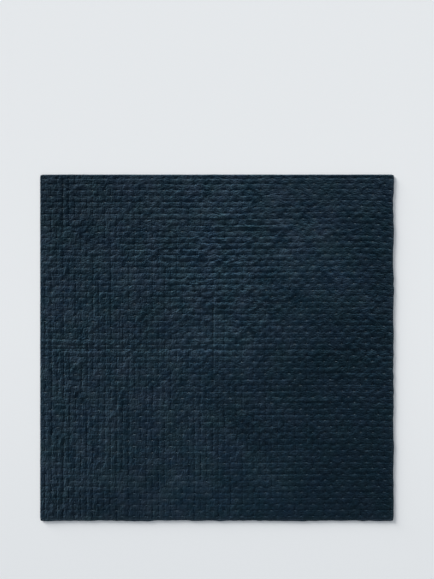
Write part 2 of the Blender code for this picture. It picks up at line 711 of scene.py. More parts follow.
    def add_face(self, across: np.ndarray, along: np.ndarray) -> None:
        """Add the velvet face as a grid, and give it its relief.

        Args:
            across: The lattice places of its lengthwise lines.
            along: The lattice places of its crosswise lines.
        """
        deselect_all()
        nx, ny = len(across) - 1, len(along) - 1
        bpy.ops.mesh.primitive_grid_add(x_subdivisions=nx, y_subdivisions=ny, size=1.0)
        self.piece = bpy.context.object
        self.piece.name = self.piece.data.name = "quilt_cloth"
        flat = read_points(self.piece)
        i = np.rint((flat[:, 0] + 0.5) * nx).astype(int)
        j = np.rint((0.5 - flat[:, 1]) * ny).astype(int)
        u, v = across[i], along[j]
        self.write_places(self.piece, u, v)
        x, y = self.lattice.plan(u, v)
        x, y = self.outline.draw_in(x, y)
        inside = self.outline.inside(x, y)
        x, y = x + add_up(self.wander_x, x, y) * inside, y + add_up(self.wander_y, x, y) * inside
        at = self.places(u, v, x, y)
        z = self.relief(at) + self.ridge_before * self.pinched(at)
        border = (i == 0) | (j == 0) | (i == nx) | (j == ny)
        rim = self.rings[0].height
        z = np.where(border, rim + self.border_share * (z - rim), z)
        write_points(self.piece, np.stack([x, y, z], axis=1))
        self.face_points = len(flat)

    def places(self, u: np.ndarray, v: np.ndarray, x: np.ndarray, y: np.ndarray) -> ClothPlaces:
        """Gather what shapes the cloth at each place.

        Args:
            u: Lattice places across.
            v: Lattice places along.
            x: The same places on the floor, across.
            y: The same places on the floor, along.

        Returns:
            The places, with how far off their tacks are, their lean and how lively they are.
        """
        du, dv = self.lattice.sewn(u, v)
        middle = MIDDLE.share(x, y)
        lean = LEAN.at(x, y) + self.lean_swing.at(x, y) + self.lean_middle * middle
        lean = np.clip(lean, self.lean_least, self.lean_most)
        lively = 1 + sum(patch.share(x, y) for patch in LIVELY)
        return ClothPlaces(u, v, du, dv, x, y, lean, middle, lively)

    def relief(self, at: ClothPlaces) -> np.ndarray:
        """How high the velvet stands, without its pinched ridges.

        Args:
            at: The places.

        Returns:
            Heights above the floor, in metres.
        """
        z = self.puff_height
        for swell in self.swells:
            z = z + swell.at(at.x, at.y)
        depth = self.crease_depth * at.lively
        gathered = self.crosswise_lean.at(at.lean) * (1 + LOOSE.share(at.x, at.y))
        z = z - gathered * depth * self.crease(Run.CROSSWISE, at)
        z = z - self.lengthwise_lean.at(at.lean) * depth * self.crease(Run.LENGTHWISE, at)
        for fold in self.folds:
            z = z + fold.lift(at.x, at.y)
        dimple = oval(at.du, at.dv, self.pit_half_width, self.pit_half_length)
        sunk = np.clip(1.0 + self.pit_swing.at(at.x, at.y), self.pit_least, self.pit_most)
        sunk = sunk * self.pit_lean.at(at.lean) * at.lively
        z = z - (self.puff_height - self.tack_height) * sunk * dimple
        return np.maximum(z, self.lowest)

    def crease(self, run: Run, at: ClothPlaces) -> np.ndarray:
        """The creases that join tacks in one direction.

        Args:
            run: The direction.
            at: The places.

        Returns:
            From 0 to about 1, in the middle of a crease.
        """
        lean, sway = np.clip(at.lean, 0, 1), add_up(self.sways, at.x, at.y)
        if run is Run.CROSSWISE:
            swing, across, along, reach = self.crosswise, at.v, at.u, np.abs(at.du)
            sway = sway * (self.sway_middle.at(at.middle) - LOOSE.share(at.x, at.y))
            extra = self.crosswise_middle * at.middle
        else:
            swing, across, along, reach = self.lengthwise, at.u, at.v, np.abs(at.dv)
            sway = sway * self.sway_lean.at(lean)
            extra = 0.0
        line = np.rint(across)
        off = across - line + sway * reach
        strength, arm = swing.arm(along, line, reach, extra)
        arm = 1 - lean * (1 - arm)
        return strength * arm * np.exp(-((off / self.crease_width) ** 2))

    def pinched(self, at: ClothPlaces) -> np.ndarray:
        """The pinched ridges all over the velvet, which run crosswise or lengthwise.

        Args:
            at: The places.

        Returns:
            How far they lift the velvet, in metres.
        """
        flank = np.clip(self.flank_start - at.x, 0, self.flank_reach)
        ripple = add_up(self.ripples, at.x, at.y)
        broad = self.broad.at(at.x, at.y + ripple) * self.broad.lean.at(at.lean)
        rolling = self.rolling_share * self.rolling.at(at.x, at.y - ripple)
        broad = broad + rolling * self.rolling.lean.at(at.lean)
        tall = self.tall.at(at.x + ripple, at.y) * self.tall.lean.at(at.lean)
        height = self.broad_middle.at(at.middle) * broad + self.tall_flank.at(flank) * tall
        lift = self.ridge_height * height * at.lively - self.ridge_sink
        held = self.held_share * oval(at.du, at.dv, self.held_half_width, self.held_half_length)
        return lift * self.outline.inside(at.x, at.y) ** 2 * (1 - held)

    def settle(self) -> None:
        """Let the cloth find its own folds between the tacks, by simulation."""
        self.pin()
        self.settling.run(self.piece, self.held_group)
        self.piece.vertex_groups.remove(self.piece.vertex_groups[self.held_group])

    def pin(self) -> None:
        """Hold the tacks and the border, and the creases between the tacks a little."""
        u, v = self.read_places()
        du, dv = self.lattice.sewn(u, v)
        border = (u <= 0) | (u >= u.max() - self.hold_border)
        border = border | (v <= 0) | (v >= v.max() - self.hold_border)
        tack = (np.abs(du) < self.hold_tack) & (np.abs(dv) < self.hold_tack)
        on_line = (np.abs(u - np.rint(u)) < self.hold_line) | (np.abs(v - np.rint(v)) < self.hold_line)
        group = self.piece.vertex_groups.new(name=self.held_group)
        group.add(np.nonzero(on_line)[0].tolist(), self.line_weight, "REPLACE")
        group.add(np.nonzero(border | tack)[0].tolist(), 1.0, "REPLACE")

    def sharpen(self) -> None:
        """Add the rest of the ridges to the settled cloth, and keep it under its greatest height."""
        points = read_points(self.piece)
        at = self.places(*self.read_places(), points[:, 0], points[:, 1])
        points[:, 2] += self.ridge_after * self.pinched(at)
        room = self.highest - self.level
        over = np.maximum(points[:, 2] - self.level, 0)
        points[:, 2] = np.minimum(points[:, 2], self.level) + room * np.tanh(over / room)
        points[:, 2] = np.maximum(points[:, 2], self.lowest)
        write_points(self.piece, points)

    def add_edge(self) -> None:
        """Carry the border down over the edge, ring by ring, to the underside's rim."""
        for ring in self.rings[1:]:
            before = len(self.piece.data.vertices)
            select_border(self.piece)
            bpy.ops.mesh.extrude_region_move()
            bpy.ops.object.mode_set(mode="OBJECT")
            points = read_points(self.piece)
            points[before:] = self.ring_points(ring, before)
            write_points(self.piece, points)

    def ring_points(self, ring: EdgeRing, before: int) -> np.ndarray:
        """Where one ring's points lie, in line with the points of the ring above it.

        Args:
            ring: The ring.
            before: How many points the mesh had before the ring was extruded.

        Returns:
            Rows of x, y, z.
        """
        u, v = self.read_places()
        at_x, at_y = (u == u.min()) | (u == u.max()), (v == v.min()) | (v == v.max())
        at_x, at_y, u, v = at_x[before:], at_y[before:], u[before:], v[before:]
        x, y = self.lattice.plan(u, v)
        half_x, half_y = self.outline.width / 2, self.outline.length / 2
        x = np.where(at_x, np.sign(x) * (half_x - ring.inset), x)
        y = np.where(at_y, np.sign(y) * (half_y - ring.inset), y)
        corner = at_x & at_y
        x = np.where(corner, x - np.sign(x) * ring.corner_pull, x)
        y = np.where(corner, y - np.sign(y) * ring.corner_pull, y)
        x, y = self.outline.draw_in(x, y)
        z = ring.height + ring.height / self.rings[0].height * self.ring_uneven.at(x, y)
        return np.stack([x, y, z], axis=1)

    def add_back(self) -> None:
        """Close the underside with the backing, drawn up a little at each tack."""
        self.face_polygons = len(self.piece.data.polygons)
        deselect_all()
        nx, ny = self.lattice.columns - 1, self.lattice.rows - 1
        bpy.ops.mesh.primitive_grid_add(x_subdivisions=nx, y_subdivisions=ny, size=1.0)
        backing = bpy.context.object
        flat = read_points(backing)
        u, v = np.rint((flat[:, 0] + 0.5) * nx), np.rint((0.5 - flat[:, 1]) * ny)
        self.write_places(backing, u, v)
        x, y = self.lattice.plan(u, v)
        z = np.where((u + v) % 2 == 0, self.back_dimple, self.back_height)
        write_points(backing, np.stack([x, y, z], axis=1))
        activate(backing)
        bpy.ops.object.mode_set(mode="EDIT")
        bpy.ops.mesh.select_all(action="SELECT")
        bpy.ops.mesh.flip_normals()
        bpy.ops.object.mode_set(mode="OBJECT")
        activate(self.piece)
        backing.select_set(True)
        bpy.ops.object.join()
        select_border(self.piece)
        bpy.ops.mesh.bridge_edge_loops()
        bpy.ops.object.mode_set(mode="OBJECT")

    def write_places(self, piece: bpy.types.Object, u: np.ndarray, v: np.ndarray) -> None:
        """Keep each point's place on the lattice with the mesh.

        Args:
            piece: The mesh object.
            u: Lattice places across.
            v: Lattice places along.
        """
        for name, values in (("place_u", u), ("place_v", v)):
            layer = piece.data.attributes.new(name, "FLOAT", "POINT")
            layer.data.foreach_set("value", values.astype(np.float32))

    def read_places(self) -> tuple[np.ndarray, np.ndarray]:
        """Read each point's place on the lattice.

        Returns:
            Lattice places across and along.
        """
        places = []
        for name in ("place_u", "place_v"):
            values = np.zeros(len(self.piece.data.vertices), np.float32)
            self.piece.data.attributes[name].data.foreach_get("value", values)
            places.append(values.astype(float))
        return places[0], places[1]

    def finish_mesh(self) -> None:
        """Write the lattice's UV map, part face from backing, and shade the skin smooth."""
        mesh = self.piece.data
        u, v = self.read_places()
        corner = np.zeros(len(mesh.loops), np.int32)
        mesh.loops.foreach_get("vertex_index", corner)
        layer = mesh.uv_layers.new(name="lattice")
        places = np.stack([u[corner], v[corner]], axis=1)
        layer.data.foreach_set("uv", places.ravel().astype(np.float32))
        self.tack_points = self.find_tacks(u, v)
        for name in ("place_u", "place_v"):
            mesh.attributes.remove(mesh.attributes[name])
        index = np.zeros(len(mesh.polygons), np.int32)
        index[self.face_polygons:] = 1
        mesh.polygons.foreach_set("material_index", index)
        mesh.shade_smooth()

    def find_tacks(self, u: np.ndarray, v: np.ndarray) -> np.ndarray:
        """Find the face's point at each crossing of the lattice.

        Args:
            u: Lattice places across.
            v: Lattice places along.

        Returns:
            An array by row and column, of x, y, z.
        """
        lattice = self.lattice
        u, v = u[:self.face_points], v[:self.face_points]
        column, row = np.rint(u).astype(int), np.rint(v).astype(int)
        crossing = (np.abs(u - column) < self.crossing_gap) & (np.abs(v - row) < self.crossing_gap)
        crossing = crossing & (column >= 0) & (column < lattice.columns) & (row >= 0) & (row < lattice.rows)
        found = np.zeros((lattice.rows, lattice.columns, 3))
        points = read_points(self.piece)[:self.face_points]
        found[row[crossing], column[crossing]] = points[crossing]
        return found


# --------------------------------------------------------------------------- the tacks


@dataclass
class TackStitches:
    """The short bar of thread at every tack."""

    lattice: Lattice
    length: float = 0.0190
    thickness: float = 0.0042
    proud: float = 0.0014
    forward: float = 0.0030
    sides: int = 6
    cuts: tuple[float, ...] = (-0.3, 0.0, 0.3)
    taper: float = 0.45
    flatness: float = 0.8
    droop: float = 0.0016
    turn: float = 0.16
    uneven: float = 0.20
    seed: int = 71
    piece: bpy.types.Object = field(init=False)

    def build(self, tack_points: np.ndarray) -> bpy.types.Object:
        """Model one stitch, repeat it over the lattice, and lay each on the velvet.

        Args:
            tack_points: The velvet's point at each tack, by row and column.

        Returns:
            All the stitches as one mesh.
        """
        lattice = self.lattice
        self.piece = self.one_stitch()
        activate(self.piece)
        bpy.ops.object.duplicate()
        odd = bpy.context.object
        self.repeat(self.piece, (lattice.columns + 1) // 2, (lattice.rows + 1) // 2)
        self.repeat(odd, lattice.columns // 2, lattice.rows // 2)
        write_points(odd, read_points(odd) + np.array([lattice.column_pitch, -lattice.row_pitch, 0.0]))
        activate(self.piece)
        odd.select_set(True)
        bpy.ops.object.join()
        self.lay(tack_points)
        self.piece.data.shade_smooth()
        return self.piece

    def dress(self) -> None:
        """Give the stitches their thread."""
        self.piece.data.materials.append(Thread().material())

    def one_stitch(self) -> bpy.types.Object:
        """Model one stitch, a plump bar of thread whose ends go down into the cloth.

        Returns:
            The stitch, lying across at the origin.
        """
        deselect_all()
        bpy.ops.mesh.primitive_cylinder_add(vertices=self.sides, radius=self.thickness / 2, depth=self.length,
                                            end_fill_type="NGON", location=(0, 0, 0),
                                            rotation=(0, math.pi / 2, 0))
        stitch = bpy.context.object
        stitch.name = stitch.data.name = "tack_stitches"
        bpy.ops.object.transform_apply(location=True, rotation=True, scale=True)
        for share in self.cuts:
            bpy.ops.object.mode_set(mode="EDIT")
            bpy.ops.mesh.select_all(action="SELECT")
            bpy.ops.mesh.bisect(plane_co=(share * self.length, 0, 0), plane_no=(1, 0, 0))
            bpy.ops.object.mode_set(mode="OBJECT")
        points = read_points(stitch)
        out = np.abs(points[:, 0]) / (self.length / 2)
        slim = 1 - self.taper * out**3
        points[:, 1] *= slim
        points[:, 2] = points[:, 2] * slim * self.flatness - self.droop * out**2
        write_points(stitch, points)
        return stitch

    def repeat(self, stitch: bpy.types.Object, across: int, along: int) -> None:
        """Repeat a stitch by two arrays and apply them.

        Args:
            stitch: The stitch.
            across: How many there are side by side.
            along: How many rows of them there are.
        """
        activate(stitch)
        steps = (
            (across, (2 * self.lattice.column_pitch, 0, 0)),
            (along, (0, -2 * self.lattice.row_pitch, 0)),
        )
        for count, offset in steps:
            array = stitch.modifiers.new("repeat", "ARRAY")
            array.count = count
            array.use_relative_offset = False
            array.use_constant_offset = True
            array.constant_offset_displace = offset
            bpy.ops.object.modifier_apply(modifier=array.name)

    def lay(self, tack_points: np.ndarray) -> None:
        """Move every stitch from the even lattice to its own tack, each turned and sized a little.

        Args:
            tack_points: The velvet's point at each tack, by row and column.
        """
        points = read_points(self.piece)
        column = np.rint(points[:, 0] / self.lattice.column_pitch).astype(int)
        row = np.rint(-points[:, 1] / self.lattice.row_pitch).astype(int)
        local_x = points[:, 0] - column * self.lattice.column_pitch
        local_y = points[:, 1] + row * self.lattice.row_pitch
        turns, sizes = np.random.default_rng(self.seed).uniform(-1, 1, (2, *tack_points.shape[:2]))
        turn = self.turn * turns[row, column]
        size = 1 + self.uneven * sizes[row, column]
        x = (local_x * np.cos(turn) - local_y * np.sin(turn)) * size
        y = local_x * np.sin(turn) + local_y * np.cos(turn)
        moved = np.stack([x, y - self.forward, points[:, 2] + self.proud], axis=1)
        write_points(self.piece, tack_points[row, column] + moved)


# --------------------------------------------------------------------------- shading


@dataclass(frozen=True)
class Ramp:
    """A smooth step, by which low to high becomes start to end and is held there."""

    low: float
    high: float
    start: float = 0.0
    end: float = 1.0


@dataclass(frozen=True)
class Grain:
    """The settings of a fractal noise."""

    scale: float
    detail: float = 2.0
    roughness: float = 0.5


class Wire:
    """A node's output that takes part in Python expressions, each operator adding its node."""

    def __init__(self, graph: "Graph", socket: bpy.types.NodeSocket) -> None:
        """Hold one output socket of a graph."""
        self.graph = graph
        self.socket = socket

    def math(self, operation: str, *others: Union["Wire", Number]) -> "Wire":
        """This value and up to two others through one Math node."""
        values = {i: value for i, value in enumerate((self, *others))}
        return self.graph.node("ShaderNodeMath", {"operation": operation}, values)[0]

    def __add__(self, other: Union["Wire", Number]) -> "Wire":
        """This plus other."""
        return self.math("ADD", other)

    __radd__ = __add__

    def __sub__(self, other: Union["Wire", Number]) -> "Wire":
        """This minus other."""
        return self.math("SUBTRACT", other)

    def __rsub__(self, other: Number) -> "Wire":
        """Other minus this."""
        return self.math("MULTIPLY_ADD", -1.0, other)

    def __mul__(self, other: Union["Wire", Number]) -> "Wire":
        """This times other."""
        return self.math("MULTIPLY", other)

    __rmul__ = __mul__

    def __truediv__(self, other: Union["Wire", Number]) -> "Wire":
        """This over other."""
        return self.math("DIVIDE", other)

    def __abs__(self) -> "Wire":
        """This without its sign."""
        return self.math("ABSOLUTE")

    def nearest(self) -> "Wire":
        """The nearest whole number."""
        return self.math("ROUND")

    def wave(self) -> "Wire":
        """The sine of this."""
        return self.math("SINE")

    def bell(self, width: Number) -> "Wire":
        """1 where this is 0, falling off smoothly within width."""
        share = self / width
        return (share * share * -1.0).math("EXPONENT")

    def ramp(self, ramp: Ramp) -> "Wire":
        """This, through a smooth step.

        Args:
            ramp: The step.

        Returns:
            The stepped value.
        """
        values = {"Value": self, "From Min": ramp.low, "From Max": ramp.high,
                  "To Min": ramp.start, "To Max": ramp.end}
        return self.graph.node("ShaderNodeMapRange", {"interpolation_type": "SMOOTHSTEP"}, values)[0]


class Graph:
    """The node tree of a material or a world, with one way to add a node."""

    def __init__(self, owner: Union[bpy.types.Material, bpy.types.World], shader: str) -> None:
        """Start from a new material or world that holds only its one shader.

        Args:
            owner: The material or world.
            shader: The name of its shader node.
        """
        owner.use_nodes = True
        self.owner = owner
        self.tree = owner.node_tree
        self.shader = self.tree.nodes[shader]

    @classmethod
    def for_material(cls, name: str) -> "Graph":
        """Start a material that holds only its Principled shader."""
        return cls(bpy.data.materials.new(name), "Principled BSDF")

    def node(self, kind: str, settings: dict[str, Any], values: dict[Any, Any]) -> list[Wire]:
        """Add a node.

        Args:
            kind: The node's type.
            settings: Its properties, set before its sockets.
            values: What each input socket holds or is linked to, by name or place.

        Returns:
            The node's outputs that are in use.
        """
        made = self.tree.nodes.new(kind)
        for name, value in settings.items():
            setattr(made, name, value)
        for key, value in values.items():
            self.feed(made.inputs[key], value)
        return [Wire(self, output) for output in made.outputs if output.enabled]

    def feed(self, socket: bpy.types.NodeSocket, value: Any) -> None:
        """Link a wire to a socket, or set the socket's own value.

        Args:
            socket: The input socket.
            value: The wire, number, vector or colour.
        """
        if isinstance(value, Wire):
            self.tree.links.new(value.socket, socket)
        else:
            socket.default_value = value

    def dress(self, **inputs: Any) -> None:
        """Feed the shader's sockets, each named with _ for a space."""
        for name, value in inputs.items():
            self.feed(self.shader.inputs[name.replace("_", " ")], value)

    def place(self) -> Wire:
        """The point's place on the object, in metres."""
        return self.node("ShaderNodeTexCoord", {}, {})[3]

    def parts(self, vector: Wire) -> list[Wire]:
        """A vector's x, y and z."""
        return self.node("ShaderNodeSeparateXYZ", {}, {0: vector})

    def vector(self, x: Any, y: Any, z: Any) -> Wire:
        """Three values as one vector."""
        return self.node("ShaderNodeCombineXYZ", {}, {0: x, 1: y, 2: z})[0]

    def noise(self, place: Wire, grain: Grain) -> Wire:
        """Fractal noise from 0 to 1 at a place."""
        values = {"Vector": place, "Scale": grain.scale, "Detail": grain.detail, "Roughness": grain.roughness}
        return self.node("ShaderNodeTexNoise", {"noise_dimensions": "3D"}, values)[0]

    def blend(self, share: Wire, low: Any, high: Any) -> Wire:
        """A colour between low and high; sockets 6 and 7 hold a colour Mix node's colours."""
        return self.node("ShaderNodeMix", {"data_type": "RGBA"}, {0: share, 6: low, 7: high})[0]

    def bump(self, height: Wire) -> Wire:
        """Normals of a height given in metres."""
        return self.node("ShaderNodeBump", {}, {"Strength": 1.0, "Distance": 1.0, "Height": height})[0]


@dataclass(frozen=True)
class PressedLine:
    """A long sharp crease from the quilt's folding, in metres on the floor."""

    run: Run
    place: float
    start: float
    end: float
    depth: float


@dataclass(frozen=True)
class WrinkleNet:
    """A net of fine wrinkles: its scales, its slice of the noise, and how it follows the lean."""

    scale_x: float
    scale_y: float
    slice: float
    lean: Trend


@dataclass(frozen=True)
class VelvetPlace:
    """Where on the quilt a point of the velvet lies, as wires."""

    point: Wire
    x: Wire
    y: Wire
    u: Wire
    v: Wire
    slant: Wire
    counter: Wire
    du: Wire
    dv: Wire
    lean: Wire
    middle: Wire


@dataclass(frozen=True)
class Hollows:
    """The sunken places of the velvet, as wires from 0 to about 1."""

    crosswise: Wire
    lengthwise: Wire
    pit: Wire


@dataclass(frozen=True)
class Velvet:
    """Dark navy cotton velvet, creased, with painted shade in its creases and dimples, a painted sheen,
    painted highlights and a painted dimming towards the right and the foot.
    """

    navy: Colour = (0.0010, 0.0086, 0.0182, 1.0)
    # Painted dimming: the dull blue that the pile turns towards on the right and at the foot, and in random
    # patches.
    dimmed_blue: Colour = (0.0060, 0.0125, 0.0180, 1.0)
    # Painted shade: the darker, bluer colour painted into the creases and the dimples.
    painted_crease_shade: Colour = (0.0002, 0.0058, 0.0150, 1.0)
    # The pale blue that rubbed pile lightens towards, and with it the painted catch-light and the painted
    # highlights.
    steel: Colour = (0.104, 0.144, 0.177, 1.0)
    # Painted sheen: the pale blue that slopes turning away from the view are lightened towards.
    painted_sheen_blue: Colour = (0.065, 0.127, 0.176, 1.0)
    sheen: float = 0.1
    sheen_roughness: float = 0.35
    sheen_tint: Colour = (0.45, 0.62, 0.80, 1.0)
    specular: float = 0.02
    roughness: Ramp = Ramp(0.3, 0.7, 0.72, 0.92)
    # The lean, and the creases that follow it.
    lean_grain: Grain = Grain(2.6)
    lean_swing: float = 1.2
    lean_ramp: Ramp = Ramp(0.0, 1.1)
    crease_depth: float = 0.0038
    crease_width: float = 0.10
    crease_reach: float = 0.55
    crease_lean: float = 0.7
    crease_squash: float = 0.35
    crease_line_step: float = 3.7
    crease_strength_slice: float = 9.0
    crease_wander: Grain = Grain(0.9)
    crease_strength: Grain = Grain(0.30)
    crease_ramp: Ramp = Ramp(0.40, 0.66)
    middle_strength: float = 0.16
    crosswise_lean: Trend = Trend(0.42, 0.40)
    crosswise_middle: float = 0.60
    crosswise_waves: Trend = Trend(0.65, 0.5)
    crosswise_slice: float = 0.0
    lengthwise_lean: Trend = Trend(1.45, -1.1)
    lengthwise_waves: Trend = Trend(0.3, 0.4)
    lengthwise_slice: float = 40.0
    # The dimples at the tacks, and a painted highlight on the lip of pile behind each.
    pit_width: float = 0.30
    pit_length: float = 0.15
    pit_depth: float = 0.0024
    pit_lean: Trend = Trend(0.35, 0.65)
    pit_calm: float = 0.6
    lip_place: float = 0.10
    lip_length: float = 0.12
    lip_slice: float = 5.0
    lip_grain: Grain = Grain(7.3, 0.0)
    lip_glint_ramp: Ramp = Ramp(0.35, 0.65, 0.0, 0.22)
    # The wrinkles and the pile.
    wrinkle_depth: float = 0.0050
    wrinkle_grain: Grain = Grain(1.0, 1.0, 0.45)
    wrinkle_sharpness: float = 2.2
    broad: WrinkleNet = WrinkleNet(30, 60, 3.0, Trend(0.40, 0.50))
    tall: WrinkleNet = WrinkleNet(58, 22, 7.0, Trend(1.05, -0.75))
    fine_grain: Grain = Grain(120.0)
    fine_depth: float = 0.0014
    pile_grain: Grain = Grain(900.0, 1.0)
    pile_depth: float = 0.00012
    # The rubbed and the brushed pile.
    rubbed_grain: Grain = Grain(7.0, 4.0, 0.6)
    rubbed_share: float = 0.6
    streak_grain: Grain = Grain(1.0, 3.0, 0.6)
    streak_scale: tuple[float, float] = (10, 30)
    streak_slice: float = 1.0
    rubbed_ramp: Ramp = Ramp(0.36, 0.66, 0.03, 0.15)
    # Painted dimming towards the right and the foot, mixed with random patches of darker pile; where dim, the
    # pile also loses some of its rubbed lightening, its painted highlights and its painted sheen.
    painted_dimming_slope: tuple[float, float] = (0.45, -0.28)
    tone_patch_grains: tuple[tuple[Grain, float], ...] = ((Grain(1.8), 1.1), (Grain(4.5), 0.9))
    dimming_ramp: Ramp = Ramp(-0.25, 0.72)
    dimming_rubbed: float = 0.65
    dimming_lip: float = 0.4
    dimming_rim: float = 0.25
    dimming_share: float = 0.40
    # How strongly the painted sheen lightens the slopes.
    rim: float = 0.42
    # How the creases and dimples are mapped to painted shade, and how far it darkens them.
    painted_shade_ramp: Ramp = Ramp(0.1, 1.1)
    painted_shade_share: float = 0.7
    # A painted catch-light on the folded-over edge at the foot, the head and the right.
    edge_catch_light: float = 0.05
    catch_light_foot: Ramp = Ramp(-1.222, -1.184, 2.9, 0.0)
    catch_light_head: Ramp = Ramp(1.206, 1.222)
    catch_light_right: Ramp = Ramp(1.205, 1.244, 0.0, 2.0)
    # The slow change of hue.
    hue_grain: Grain = Grain(5.0, 2.0, 0.6)
    hue_ramp: Ramp = Ramp(0.3, 0.7, -1.0, 1.0)
    plum_slice: float = 20.0
    plum_red: float = 0.09
    plum_blue: float = 0.05
    ink_slice: float = 30.0
    ink_blue: float = 0.03
    # The long creases from folding.
    line_width: float = 0.0050
    line_fade: float = 0.06
    line_grain: Grain = Grain(14.0)
    line_wander: float = 0.012
    line_slice: float = 11.0
    lines: tuple[PressedLine, ...] = (
        PressedLine(Run.CROSSWISE, -0.006, -1.20, 0.00, 0.0075),
        PressedLine(Run.CROSSWISE, -0.016, 0.80, 1.22, 0.0050),
        PressedLine(Run.CROSSWISE, 0.856, -0.03, 0.45, -0.0035),
        PressedLine(Run.CROSSWISE, -0.372, 0.50, 0.84, -0.0035),
        PressedLine(Run.LENGTHWISE, -0.025, -0.30, 0.40, 0.0078),
        PressedLine(Run.LENGTHWISE, -0.681, -0.15, 0.36, 0.0050),
        PressedLine(Run.LENGTHWISE, -0.705, -0.82, -0.33, 0.0050),
        PressedLine(Run.LENGTHWISE, -1.086, 0.84, 1.18, 0.0055),
        PressedLine(Run.CROSSWISE, 1.204, -1.27, 1.27, 0.0018),
        PressedLine(Run.CROSSWISE, -1.204, -1.27, 1.27, 0.0020),
        PressedLine(Run.LENGTHWISE, 1.229, -1.25, 1.25, 0.0020),
    )
    # Where the velvet is lighter or darker.
    tones: tuple[Patch, ...] = (
        Patch(-1.15, 1.10, 0.35, 0.30, -0.27),
        Patch(-0.55, 1.08, 0.25, 0.25, -0.08),
        Patch(-0.95, -1.15, 0.55, 0.25, -0.18),
        Patch(0.03, 0.60, 0.35, 0.28, 0.30),
        Patch(0.02, 1.05, 0.35, 0.22, 0.08),
        Patch(0.65, 0.55, 0.30, 0.28, 0.18),
        Patch(0.02, 0.00, 0.32, 0.26, 0.24),
        Patch(0.60, -0.58, 0.30, 0.25, 0.08),
        Patch(0.30, -1.10, 0.42, 0.25, 0.10),
        Patch(0.00, -0.92, 0.36, 0.30, 0.12),
        Patch(1.00, -1.00, 0.45, 0.38, -0.12),
    )

    def material(self) -> bpy.types.Material:
        """Build the finish.

        Returns:
            The material.
        """
        graph = Graph.for_material("velvet")
        at = self.find_place(graph)
        hollows = self.sink(graph, at)
        rubbed = graph.noise(at.point, self.rubbed_grain)
        normal = graph.bump(self.height(graph, at, hollows))
        graph.dress(Base_Color=self.colour(graph, at, hollows, rubbed, normal), Normal=normal,
                    Roughness=rubbed.ramp(self.roughness), Specular_IOR_Level=self.specular,
                    Sheen_Weight=self.sheen, Sheen_Roughness=self.sheen_roughness,
                    Sheen_Tint=self.sheen_tint)
        return graph.owner

    def find_place(self, graph: Graph) -> VelvetPlace:
        """Work out where on the quilt a point lies.

        Args:
            graph: The material's graph.

        Returns:
            Its places on the floor, on the lattice and from the nearest tack, and its lean.
        """
        u, v, _ = graph.parts(graph.node("ShaderNodeUVMap", {"uv_map": "lattice"}, {})[0])
        point = graph.place()
        x, y, _ = graph.parts(point)
        slant, counter = ((u + v) * 0.5).nearest(), ((u - v) * 0.5).nearest()
        du, dv = u - slant - counter, v - slant + counter
        swing = (graph.noise(point, self.lean_grain) - 0.5) * self.lean_swing
        lean = (swing + LEAN.at(x, y)).ramp(self.lean_ramp)
        return VelvetPlace(point, x, y, u, v, slant, counter, du, dv, lean, self.patches(x, y, (MIDDLE,)))

    def sink(self, graph: Graph, at: VelvetPlace) -> Hollows:
        """Make the creases on the lattice's lines and the dimples at the tacks.

        Args:
            graph: The material's graph.
            at: Where the point lies.

        Returns:
            The creases of both directions, and the dimples.
        """
        crosswise = self.crease(graph, at, Run.CROSSWISE)
        crosswise = crosswise * (self.crosswise_lean.at(at.lean) + at.middle * self.crosswise_middle)
        crosswise = crosswise * (self.patches(at.x, at.y, (LOOSE,)) + 1)
        lengthwise = self.crease(graph, at, Run.LENGTHWISE) * self.lengthwise_lean.at(at.lean)
        return Hollows(crosswise, lengthwise, at.du.bell(self.pit_width) * at.dv.bell(self.pit_length))

    def crease(self, graph: Graph, at: VelvetPlace, run: Run) -> Wire:
        """Sharp creases on the lattice's lines in one direction.

        Args:
            graph: The material's graph.
            at: Where the point lies.
            run: The direction.

        Returns:
            From 0 to 1, highest in the middle of a crease.
        """
        if run is Run.CROSSWISE:
            across, along, reach, cut = at.v, at.u, at.du, self.crosswise_slice
            waves, extra = self.crosswise_waves.at(at.middle), at.middle * self.middle_strength
        else:
            across, along, reach, cut = at.u, at.v, at.dv, self.lengthwise_slice
            waves, extra = self.lengthwise_waves.at(at.lean), 0.0
        place = graph.vector(along, across * self.crease_squash, cut)
        moved = across + (graph.noise(place, self.crease_wander) - 0.5) * waves
        line = moved.nearest()
        place = graph.vector(along, line * self.crease_line_step, cut + self.crease_strength_slice)
        strength = graph.noise(place, self.crease_strength) + extra
        held = 1 - at.lean * self.crease_lean * (1 - reach.bell(self.crease_reach))
        return (moved - line).bell(self.crease_width) * strength.ramp(self.crease_ramp) * held

    def height(self, graph: Graph, at: VelvetPlace, hollows: Hollows) -> Wire:
        """The velvet's fine relief.

        Args:
            graph: The material's graph.
            at: Where the point lies.
            hollows: The sunken places.

        Returns:
            Metres.
        """
        wrinkles = self.wrinkle(graph, at, self.broad) + self.wrinkle(graph, at, self.tall)
        height = wrinkles * self.wrinkle_depth * (1 - hollows.pit * self.pit_calm)
        height = height - (hollows.crosswise + hollows.lengthwise) * self.crease_depth
        height = height - hollows.pit * self.pit_lean.at(at.lean) * self.pit_depth
        height = height * (self.patches(at.x, at.y, LIVELY) + 1)
        height = height + graph.noise(at.point, self.fine_grain) * self.fine_depth - self.pressed(graph, at)
        return height + graph.noise(at.point, self.pile_grain) * self.pile_depth

    def wrinkle(self, graph: Graph, at: VelvetPlace, net: WrinkleNet) -> Wire:
        """A net of fine wrinkles.

        Args:
            graph: The material's graph.
            at: Where the point lies.
            net: Which net.

        Returns:
            From 0 to about 1, on top of a wrinkle.
        """
        place = graph.vector(at.x * net.scale_x, at.y * net.scale_y, net.slice)
        ridge = 1 - abs(graph.noise(place, self.wrinkle_grain) * 2 - 1) * self.wrinkle_sharpness
        return ridge.ramp(Ramp(0.0, 1.0)) * net.lean.at(at.lean)

